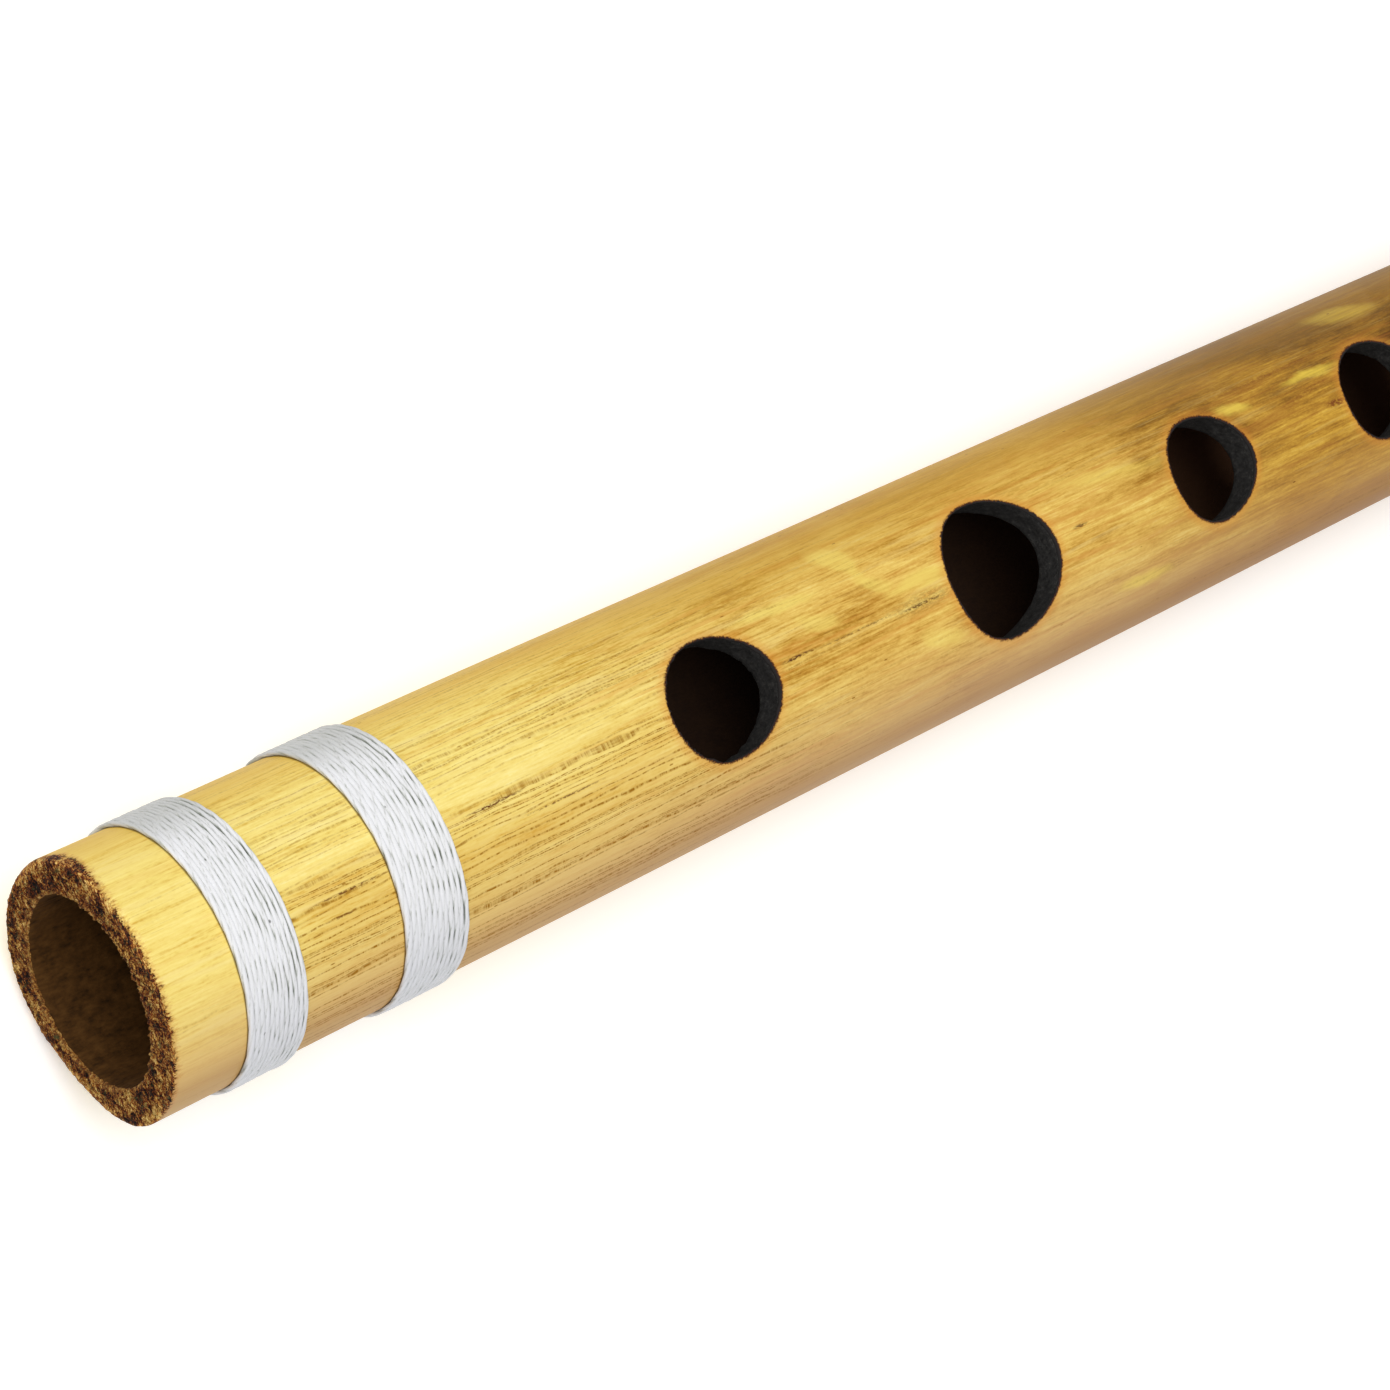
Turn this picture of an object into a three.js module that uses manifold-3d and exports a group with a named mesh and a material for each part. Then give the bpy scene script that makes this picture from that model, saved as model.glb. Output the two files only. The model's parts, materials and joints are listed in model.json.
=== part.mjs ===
// Side-blown bamboo flute: an open bamboo tube with six finger holes and a blow hole, a cork stopper that
// slides in the head, and six thread bindings that keep the bamboo from splitting.
//
// Millimetres, +Z up. The flute lies along X with its foot (open end) towards -X and its holes facing +Z.
// The origin is under the middle of the flute, on the surface that the bindings rest on.
// Places along the flute are given as distances from the foot end.

import * as THREE from 'three';
import { mergeVertices } from 'three/addons/utils/BufferGeometryUtils.js';
import Module from 'manifold-3d';

const wasm = await Module();
wasm.setup();

// Tube
const tubeLength = 410;
const tubeRadius = 10;
const boreRadius = 7.2;
const outerRimRound = 0.6;
const innerRimRound = 0.3;

// Holes, first the one nearest the foot. Each is an oval, a little longer along the tube than across it.
const fingerHoles = [
  { fromFoot: 53, length: 10.6, width: 9.3 },
  { fromFoot: 84.7, length: 12.3, width: 11.3 },
  { fromFoot: 111.8, length: 10.2, width: 9.2 },
  { fromFoot: 136.1, length: 10.2, width: 8.9 },
  { fromFoot: 163.6, length: 10.4, width: 9.4 },
  { fromFoot: 189.3, length: 9.6, width: 8.8 },
];
const blowHole = { fromFoot: 334, length: 11, width: 9.6 };

// Cork stopper, whose face closes the bore a bore's width beyond the blow hole
const corkFaceFromFoot = 348;
const corkLength = 15;
const corkClearance = 0.1;
const corkEdgeRound = 0.8;

// Thread bindings, in pairs: two near each end and two between the blow hole and the finger holes
const threadThickness = 0.5;
const bindingClearance = 0.1;
const bindingShoulder = 0.18;
const endBindingInset = 6.1;
const endBindingWidth = 4.9;
const secondBindingInset = 19.8;
const secondBindingWidth = 5.6;
const middlePairSpacing = 13.8;

// Facets round the tube, the bore, the cork and the bindings. One flat of each lies straight down.
const facets = 48;
const roundSteps = 3;
const holeSteps = 18;

const bindingRadius = tubeRadius + threadThickness;
const axisHeight = bindingRadius * Math.cos(Math.PI / facets);

const bamboo = new THREE.MeshStandardMaterial({ color: 0xd9b566, roughness: 0.45, metalness: 0 });
const cork = new THREE.MeshStandardMaterial({ color: 0xb98a5a, roughness: 0.9, metalness: 0 });
const thread = new THREE.MeshStandardMaterial({ color: 0xe3e5ea, roughness: 0.75, metalness: 0 });

// A quarter round from one angle to another, as points of a section (radius, distance from the foot).
function quarterRound(radius, fromFoot, size, startAngle, endAngle) {
  const arc = new THREE.EllipseCurve(radius, fromFoot, size, size, startAngle, endAngle, endAngle < startAngle);
  return arc.getPoints(roundSteps);
}

// A section turned round the tube's axis and laid along X, with one facet straight down.
function turned(section) {
  const geometry = new THREE.LatheGeometry(section, facets);
  geometry.rotateZ(-Math.PI / 2);
  geometry.rotateX(Math.PI / facets);
  geometry.translate(-tubeLength / 2, 0, 0);
  return geometry;
}

// The same for a ring, whose section closes on itself.
function turnedRing(section) {
  return turned([...section, section[0].clone()]);
}

function toSolid(geometry) {
  geometry.deleteAttribute('normal');
  geometry.deleteAttribute('uv');
  const merged = mergeVertices(geometry);
  const mesh = new wasm.Mesh({
    numProp: 3,
    vertProperties: new Float32Array(merged.attributes.position.array),
    triVerts: new Uint32Array(merged.index.array),
  });
  return new wasm.Manifold(mesh);
}

function toGeometry(solid) {
  const mesh = solid.getMesh();
  const geometry = new THREE.BufferGeometry();
  geometry.setAttribute('position', new THREE.BufferAttribute(mesh.vertProperties, 3));
  geometry.setIndex(new THREE.BufferAttribute(mesh.triVerts, 1));
  geometry.computeVertexNormals();
  return geometry;
}

// The bamboo before it is drilled: a pipe whose two cut ends have rounded rims.
function plainTube() {
  const outer = tubeRadius - outerRimRound;
  const inner = boreRadius + innerRimRound;
  const quarter = Math.PI / 2;
  return turnedRing([
    ...quarterRound(inner, innerRimRound, innerRimRound, 2 * quarter, 3 * quarter),
    ...quarterRound(outer, outerRimRound, outerRimRound, -quarter, 0),
    ...quarterRound(outer, tubeLength - outerRimRound, outerRimRound, 0, quarter),
    ...quarterRound(inner, tubeLength - innerRimRound, innerRimRound, quarter, 2 * quarter),
  ]);
}

// An upright oval prism that starts on the tube's axis and passes out through its upper wall.
function holeCutter(hole) {
  const oval = new THREE.Shape();
  oval.absellipse(0, 0, hole.length / 2, hole.width / 2, 0, 2 * Math.PI);
  const depth = 2 * tubeRadius;
  const cutter = new THREE.ExtrudeGeometry(oval, { depth, bevelEnabled: false, curveSegments: holeSteps });
  cutter.translate(hole.fromFoot - tubeLength / 2, 0, 0);
  return toSolid(cutter);
}

function drilledTube() {
  let solid = toSolid(plainTube());
  for (const hole of [...fingerHoles, blowHole]) {
    solid = solid.subtract(holeCutter(hole));
  }
  return toGeometry(solid);
}

function corkStopper() {
  const radius = boreRadius - corkClearance;
  const edge = radius - corkEdgeRound;
  const nearEdge = corkFaceFromFoot + corkEdgeRound;
  const farEdge = corkFaceFromFoot + corkLength - corkEdgeRound;
  const quarter = Math.PI / 2;
  return turned([
    new THREE.Vector2(0, corkFaceFromFoot),
    ...quarterRound(edge, nearEdge, corkEdgeRound, -quarter, 0),
    ...quarterRound(edge, farEdge, corkEdgeRound, 0, quarter),
    new THREE.Vector2(0, corkFaceFromFoot + corkLength),
  ]);
}

// One binding: a band of thread round the tube, with its first and last turns sloping down to the bamboo.
function binding(fromFoot, width) {
  const inside = tubeRadius + bindingClearance;
  const shoulder = bindingRadius - bindingShoulder;
  return turnedRing([
    new THREE.Vector2(inside, fromFoot),
    new THREE.Vector2(shoulder, fromFoot),
    new THREE.Vector2(bindingRadius, fromFoot + bindingShoulder),
    new THREE.Vector2(bindingRadius, fromFoot + width - bindingShoulder),
    new THREE.Vector2(shoulder, fromFoot + width),
    new THREE.Vector2(inside, fromFoot + width),
  ]);
}

// The six bindings by name. The head pair mirrors the foot pair.
function bindingPlaces() {
  const middle = (fingerHoles[fingerHoles.length - 1].fromFoot + blowHole.fromFoot) / 2;
  const middleWidth = endBindingWidth;
  return {
    foot_end_binding: [endBindingInset, endBindingWidth],
    foot_second_binding: [secondBindingInset, secondBindingWidth],
    middle_lower_binding: [middle - (middlePairSpacing + middleWidth) / 2, middleWidth],
    middle_upper_binding: [middle + (middlePairSpacing - middleWidth) / 2, middleWidth],
    head_second_binding: [tubeLength - secondBindingInset - secondBindingWidth, secondBindingWidth],
    head_end_binding: [tubeLength - endBindingInset - endBindingWidth, endBindingWidth],
  };
}

function named(name, geometry, material) {
  const mesh = new THREE.Mesh(geometry, material);
  mesh.name = name;
  return mesh;
}

const flute = new THREE.Group();
flute.position.z = axisHeight;
flute.add(named('bamboo_tube', drilledTube(), bamboo));
flute.add(named('cork_stopper', corkStopper(), cork));
for (const [name, [fromFoot, width]] of Object.entries(bindingPlaces())) {
  flute.add(named(name, binding(fromFoot, width), thread));
}

export default flute;
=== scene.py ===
"""Looks of the bamboo flute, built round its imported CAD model.

The flute lies along X with its foot (open end) towards -X and its holes facing +Z. Shapes are worked out in
millimetres as (distance from the foot, angle round the tube from +Z towards +Y, distance from the axis), and
turned into the frame's metres when a mesh is made.
"""

import json
import math

import bmesh
import bpy
import numpy as np
from mathutils import Matrix, Vector, noise


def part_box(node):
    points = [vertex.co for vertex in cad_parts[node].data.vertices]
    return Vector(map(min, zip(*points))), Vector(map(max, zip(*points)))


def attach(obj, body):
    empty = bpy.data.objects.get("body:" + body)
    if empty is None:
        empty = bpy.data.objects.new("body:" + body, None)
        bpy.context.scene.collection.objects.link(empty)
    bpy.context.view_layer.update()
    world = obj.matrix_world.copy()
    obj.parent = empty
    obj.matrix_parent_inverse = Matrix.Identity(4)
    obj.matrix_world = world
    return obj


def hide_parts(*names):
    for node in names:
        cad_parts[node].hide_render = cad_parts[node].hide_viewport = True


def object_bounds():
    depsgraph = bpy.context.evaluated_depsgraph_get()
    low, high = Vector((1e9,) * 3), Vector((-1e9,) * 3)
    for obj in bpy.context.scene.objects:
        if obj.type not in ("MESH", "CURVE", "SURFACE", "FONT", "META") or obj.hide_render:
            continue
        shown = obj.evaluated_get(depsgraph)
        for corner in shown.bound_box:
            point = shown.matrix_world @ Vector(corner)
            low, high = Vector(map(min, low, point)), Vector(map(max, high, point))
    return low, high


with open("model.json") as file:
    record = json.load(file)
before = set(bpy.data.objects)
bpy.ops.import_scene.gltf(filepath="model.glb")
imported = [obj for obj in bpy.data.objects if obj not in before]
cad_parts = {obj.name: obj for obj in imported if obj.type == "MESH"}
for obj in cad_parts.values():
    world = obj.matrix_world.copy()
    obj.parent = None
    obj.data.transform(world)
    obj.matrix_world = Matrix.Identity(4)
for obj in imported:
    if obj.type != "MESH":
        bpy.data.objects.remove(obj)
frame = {"record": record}

cad_low, cad_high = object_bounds()

MM = 0.001

# Sizes that the CAD settles, in millimetres. Its round pieces are faceted, with one flat straight down.
FACETS = 48
FACET_REACH = math.cos(math.pi / FACETS)
tube_low, tube_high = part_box("bamboo_tube")
cork_low, cork_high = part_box("cork_stopper")
FOOT_X = tube_low.x
AXIS_Z = (tube_low.z + tube_high.z) / 2
TUBE_LENGTH = (tube_high.x - tube_low.x) / MM
TUBE_RADIUS = (tube_high.z - tube_low.z) / 2 / MM / FACET_REACH
CORK_RADIUS = (cork_high.z - cork_low.z) / 2 / MM / FACET_REACH
CORK_CLEARANCE = 0.1     # that the CAD leaves between the cork and the bore
BORE_RADIUS = CORK_RADIUS + CORK_CLEARANCE

BINDINGS = (
    "foot_end_binding",
    "foot_second_binding",
    "middle_lower_binding",
    "middle_upper_binding",
    "head_second_binding",
    "head_end_binding",
)
HOLE_NAMES = [f"finger_hole_{number}" for number in range(1, 7)] + ["blow_hole"]
HOLE_BOX_SHARE = 0.7     # an opening's box in the record is this share of its oval hole each way


def read_holes():
    """The holes as (distance from the foot, half length, half width), in order from the foot."""
    holes = []
    for opening in frame["record"]["physics"]["openings"]:
        if opening["name"] in HOLE_NAMES:
            low, high = opening["box_m"]
            centre = ((low[0] + high[0]) / 2 - FOOT_X) / MM
            half_length = (high[0] - low[0]) / 2 / MM / HOLE_BOX_SHARE
            half_width = (high[1] - low[1]) / 2 / MM / HOLE_BOX_SHARE
            holes.append((centre, half_length, half_width))
    return sorted(holes)


HOLES = read_holes()


# -------------------- camera, light and floor

CAMERA_LENS = 85.0                       # mm, on a 36 mm sensor
CAMERA_PLACE = (-9.82, 0.72, 20.64)      # from the middle of the foot's end face, in tube radii
CAMERA_AIM = (5.79, 0.08, 0.0)           # the same
CAMERA_ROLL = math.radians(67.85)        # the flute runs up to the right
LAMP_PLACE = (-0.64, 0.14, 1.72)         # metres
LAMP_AIM = (-0.14, 0, 0)
LAMP_SIZE = 1.67
LAMP_POWER = 28.5
LAMP_COLOUR = (1.0, 0.99, 0.97)
SURROUND_STRENGTH = 0.34
FLOOR_REACH = 10.0                       # metres each way


def place_from_foot(radii):
    """A place given in tube radii from the middle of the foot's end face."""
    return Vector((FOOT_X, 0, AXIS_Z)) + Vector(radii) * TUBE_RADIUS * MM


def add_object(name, data):
    """A new object in the scene."""
    made = bpy.data.objects.new(name, data)
    bpy.context.scene.collection.objects.link(made)
    return made


def make_camera():
    data = bpy.data.cameras.new("camera")
    data.lens = CAMERA_LENS
    data.sensor_width = 36.0
    data.clip_start = 0.01
    camera = add_object("camera", data)
    camera.location = place_from_foot(CAMERA_PLACE)
    sight = place_from_foot(CAMERA_AIM) - camera.location
    upright = sight.to_track_quat("-Z", "Y").to_matrix()
    camera.rotation_euler = (upright @ Matrix.Rotation(CAMERA_ROLL, 3, "Z")).to_euler()
    bpy.context.scene.camera = camera


def make_light():
    """One large soft lamp above the foot, in an even white surround."""
    data = bpy.data.lights.new("key_light", "AREA")
    data.shape = "DISK"
    data.size = LAMP_SIZE
    data.energy = LAMP_POWER
    data.color = LAMP_COLOUR
    lamp = add_object("key_light", data)
    lamp.location = LAMP_PLACE
    lamp.rotation_euler = (Vector(LAMP_AIM) - Vector(LAMP_PLACE)).to_track_quat("-Z", "Y").to_euler()

    world = bpy.data.worlds.new("studio")
    world.use_nodes = True
    background = world.node_tree.nodes["Background"].inputs
    background["Color"].default_value = (1, 1, 1, 1)
    background["Strength"].default_value = SURROUND_STRENGTH
    bpy.context.scene.world = world
    bpy.context.scene.view_settings.view_transform = "Standard"


def make_floor():
    mesh = bpy.data.meshes.new("floor")
    corners = [(x * FLOOR_REACH, y * FLOOR_REACH, 0) for x, y in ((-1, -1), (1, -1), (1, 1), (-1, 1))]
    mesh.from_pydata(corners, [], [(0, 1, 2, 3)])
    floor = add_object("floor", mesh)
    floor.location.z = cad_low.z
    floor.data.materials.append(floor_material())


# -------------------- material helpers

def linear(red, green, blue):
    """A colour given as 0 to 255 on screen, as the linear RGBA that a shader takes."""
    def one(value):
        share = value / 255
        return share / 12.92 if share <= 0.04045 else ((share + 0.055) / 1.055) ** 2.4
    return (one(red), one(green), one(blue), 1.0)


class Shader:
    """One material's nodes, made in short calls. Numbers and colours may stand where a socket can."""

    def __init__(self, name):
        self.material = bpy.data.materials.new(name)
        self.material.use_nodes = True
        self.tree = self.material.node_tree
        self.surface = self.tree.nodes["Principled BSDF"]

    def put(self, socket, value):
        if isinstance(value, bpy.types.NodeSocket):
            self.tree.links.new(value, socket)
        else:
            socket.default_value = value

    def node(self, kind, inputs=(), **settings):
        made = self.tree.nodes.new(kind)
        for key, value in settings.items():
            setattr(made, key, value)
        for key, value in dict(inputs).items():
            self.put(made.inputs[key], value)
        return made

    def maths(self, operation, *values):
        return self.node("ShaderNodeMath", enumerate(values), operation=operation).outputs[0]

    def add(self, *values):
        total = values[0]
        for value in values[1:]:
            total = self.maths("ADD", total, value)
        return total

    def times(self, first, second):
        return self.maths("MULTIPLY", first, second)

    def span(self, value, low, high, to_low=0.0, to_high=1.0):
        """Turns low..high smoothly into to_low..to_high, and holds it there outside."""
        inputs = {"Value": value, "From Min": low, "From Max": high, "To Min": to_low, "To Max": to_high}
        return self.node("ShaderNodeMapRange", inputs, interpolation_type="SMOOTHSTEP").outputs["Result"]

    def mix(self, share, first, second):
        made = self.node("ShaderNodeMix", {0: share, 6: first, 7: second}, data_type="RGBA")
        return made.outputs[2]

    def ramp(self, value, *stops):
        """A colour by value. Each stop is (value, red, green, blue), the colour as 0 to 255 on screen."""
        made = self.node("ShaderNodeValToRGB", {"Fac": value})
        band = made.color_ramp
        while len(band.elements) < len(stops):
            band.elements.new(0.5)
        for element, (place, *colour) in zip(band.elements, stops):
            element.position = place
            element.color = linear(*colour)
        return made.outputs["Color"]

    def vector(self, x, y, z):
        return self.node("ShaderNodeCombineXYZ", {0: x, 1: y, 2: z}).outputs[0]

    def length(self, vector):
        return self.node("ShaderNodeVectorMath", {0: vector}, operation="LENGTH").outputs["Value"]

    def stretched(self, vector, scale, shift=(0, 0, 0)):
        made = self.node("ShaderNodeMapping", {"Vector": vector, "Location": shift, "Scale": scale})
        return made.outputs[0]

    def noise(self, vector, scale=1.0, detail=2.0, roughness=0.5, distortion=0.0):
        inputs = {"Vector": vector, "Scale": scale, "Detail": detail}
        inputs |= {"Roughness": roughness, "Distortion": distortion}
        return self.node("ShaderNodeTexNoise", inputs).outputs[0]

    def cells(self, vector, scale, output="Distance"):
        return self.node("ShaderNodeTexVoronoi", {"Vector": vector, "Scale": scale}).outputs[output]

    def ripple(self, value, weight):
        """A noise value, which lies about 0.5, as a change of up to half the weight each way."""
        return self.times(self.add(value, -0.5), weight)

    def chance(self, number):
        """A fixed random value from 0 to 1 for each whole number."""
        return self.node("ShaderNodeTexWhiteNoise", {"W": number}, noise_dimensions="1D").outputs["Value"]

    def attribute(self, name):
        return self.node("ShaderNodeAttribute", attribute_name=name).outputs["Fac"]

    def flute_place(self):
        """The surface point in millimetres: (from the foot, across, up from the axis) as one vector."""
        raw = self.node("ShaderNodeTexCoord").outputs["Object"]
        return self.stretched(raw, (1 / MM, 1 / MM, 1 / MM), (-FOOT_X / MM, 0, -AXIS_Z / MM))

    def split(self, vector):
        made = self.node("ShaderNodeSeparateXYZ", {0: vector})
        return made.outputs[0], made.outputs[1], made.outputs[2]

    def bump(self, height, depth_mm, strength=1.0):
        inputs = {"Height": height, "Distance": depth_mm * MM, "Strength": strength}
        return self.node("ShaderNodeBump", inputs).outputs["Normal"]

    def finish(self, colour, roughness, normal=None, **constants):
        self.put(self.surface.inputs["Base Color"], colour)
        self.put(self.surface.inputs["Roughness"], roughness)
        if normal is not None:
            self.put(self.surface.inputs["Normal"], normal)
        for key, value in constants.items():
            self.surface.inputs[key.replace("_", " ")].default_value = value
        return self.material


def floor_material():
    shader = Shader("floor")
    place = shader.flute_place()
    grain = shader.noise(place, 0.05, 3)
    colour = shader.mix(grain, (0.93, 0.93, 0.93, 1), (0.95, 0.95, 0.95, 1))
    glow = {"Emission_Color": (1, 1, 1, 1), "Emission_Strength": 0.24}
    return shader.finish(colour, 0.9, Specular_IOR_Level=0.0, **glow)


# -------------------- bamboo materials

# Marks on the skin, as (mm from the foot, mm round from the top towards +Y, half length, half width,
# slant in mm round for each mm along, strength).
DARK_STREAKS = (
    (16.3, -0.9, 4.6, 0.13, 0.0, 0.9),
    (15.0, -2.4, 1.7, 0.12, 0.0, 0.9),
    (30.0, 0.2, 3.6, 0.17, 0.0, 1.0),
    (36.0, -1.6, 5.0, 0.12, 0.0, 0.8),
    (60.9, 0.45, 2.4, 0.20, 0.0, 1.0),
    (67.5, 0.30, 6.0, 0.12, 0.0, 0.6),
    (74.8, 0.05, 3.6, 0.22, 0.0, 0.85),
    (75.0, 0.20, 5.5, 1.10, 0.0, 0.32),
    (94.2, 0.30, 1.2, 0.22, 0.0, 0.8),
    (129.6, 0.50, 2.0, 0.50, -0.08, 0.85),
    (124.0, 5.60, 9.0, 0.40, 0.0, 0.40),
    (126.5, 2.50, 5.5, 0.45, 0.10, 0.32),
    (118.0, 5.90, 7.0, 0.50, -0.04, 0.22),
)
PALE_PATCHES = (
    (61.5, 4.7, 5.6, 0.7, -0.06, 0.75),
    (70.2, 6.0, 2.2, 2.6, -1.0, 0.62),
    (71.4, 3.1, 2.4, 1.5, -0.5, 0.62),
    (75.6, 1.9, 5.6, 0.9, 0.0, 0.75),
    (64.3, 2.2, 2.8, 1.1, -0.3, 0.50),
    (76.0, -3.3, 3.0, 1.2, -0.3, 0.45),
    (99.5, 3.4, 10.0, 1.0, -0.15, 0.42),
    (100.6, -6.6, 5.0, 0.9, -0.08, 0.60),
    (117.4, 3.9, 2.4, 0.8, -0.2, 0.95),
    (128.8, 3.9, 5.4, 0.7, -0.04, 1.0),
    (139.0, 8.8, 5.5, 1.7, -0.15, 0.50),
)
BINDING_EDGES = [(corner.x - FOOT_X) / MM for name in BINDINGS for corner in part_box(name)]


def under_marks(shader, s, around, marks):
    """How strongly the marks cover each point, 0 to 1, fading to their edges."""
    covered = None
    for from_foot, from_top, half_length, half_width, slant, strength in marks:
        past = shader.add(s, -from_foot)
        beside = shader.add(around, -from_top)
        if slant:
            beside = shader.add(beside, shader.times(past, -slant))
        along, across = shader.times(past, 1 / half_length), shader.times(beside, 1 / half_width)
        away = shader.length(shader.vector(along, across, 0))
        share = shader.span(away, 1.0, 0.3, 0, strength)
        covered = share if covered is None else shader.maths("MAXIMUM", covered, share)
    return covered


def fibre_lines(shader, place, around):
    """Thin dark lines that run along the tube, here and there broken up. Returns how dark each point is."""
    s, _, _ = shader.split(place)
    drift = shader.noise(shader.stretched(place, (0.015, 1, 1), (3, 8, 1)), 0.5, 2)
    meander = shader.noise(shader.stretched(place, (0.16, 1, 1), (6, 2, 7)), 1.0, 3, 0.6)
    zone = shader.noise(shader.stretched(place, (0.06, 1, 1), (11, 0, 2)), 0.40, 2)
    facing = shader.times(shader.span(around, 2.0, -1.5), shader.span(around, -13.5, -8.5))
    by_bindings = shader.times(shader.span(s, 7, 13), shader.span(s, 66, 42))
    level = shader.add(
        shader.times(facing, shader.times(by_bindings, 0.62)),
        shader.times(by_bindings, 0.16),
        shader.times(facing, 0.10),
        shader.ripple(zone, 1.1),
        shader.span(s, 60, 90, 0.16, -0.1),
        shader.span(s, 5, 9, -0.30, 0.0),
    )
    darkest = None
    for per_mm, width, seed, weight in ((1.2, 0.115, 4.0, 1.0), (2.1, 0.095, 17.0, 0.85)):
        shift = shader.add(shader.times(drift, 1.6 * per_mm), shader.times(meander, 0.7 * per_mm))
        lane = shader.add(shader.times(around, per_mm), shift, 200.0 + seed)
        number = shader.maths("FLOOR", lane)
        chance = shader.chance(number)
        middle = shader.add(number, 0.12, shader.times(chance, 0.76))
        kept = shader.span(shader.chance(shader.add(number, 0.37)), 0.12, 0.52)
        off = shader.times(shader.maths("ABSOLUTE", shader.maths("SUBTRACT", lane, middle)), 1 / per_mm)
        line = shader.span(off, width, 0.0)
        slow = shader.vector(shader.times(s, 0.11), shader.times(number, 3.7), seed)
        quick = shader.vector(shader.times(s, 2.3), shader.times(number, 5.1), seed)
        lasting = shader.noise(slow, 1, 3, 0.6)
        dots = shader.noise(quick, 1, 3, 0.75)
        shown = shader.span(shader.add(lasting, shader.times(level, 0.30)), 0.45, 0.66)
        grit = shader.span(dots, 0.40, 0.60, 0.30, 1.1)
        strength = shader.span(level, 0.0, 0.85, 0.32 * weight, weight)
        dark = shader.times(shader.times(line, shown), shader.times(shader.times(grit, kept), strength))
        darkest = dark if darkest is None else shader.maths("MAXIMUM", darkest, dark)

    spot = shader.stretched(place, (0.30, 1, 1), (5, 5, 5))
    near = shader.cells(spot, 1.3)
    pick = shader.add(shader.cells(spot, 1.3, "Color"), shader.times(level, 0.10))
    specks = shader.times(shader.span(near, 0.10, 0.05), shader.span(pick, 0.72, 0.78, 0, 0.85))
    return shader.maths("MAXIMUM", darkest, specks)


def above(shader, z):
    """1 on the upper part of the tube, fading to 0 underneath, where the angle round it jumps by a turn."""
    return shader.span(z, -8.0, -1.5)


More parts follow.
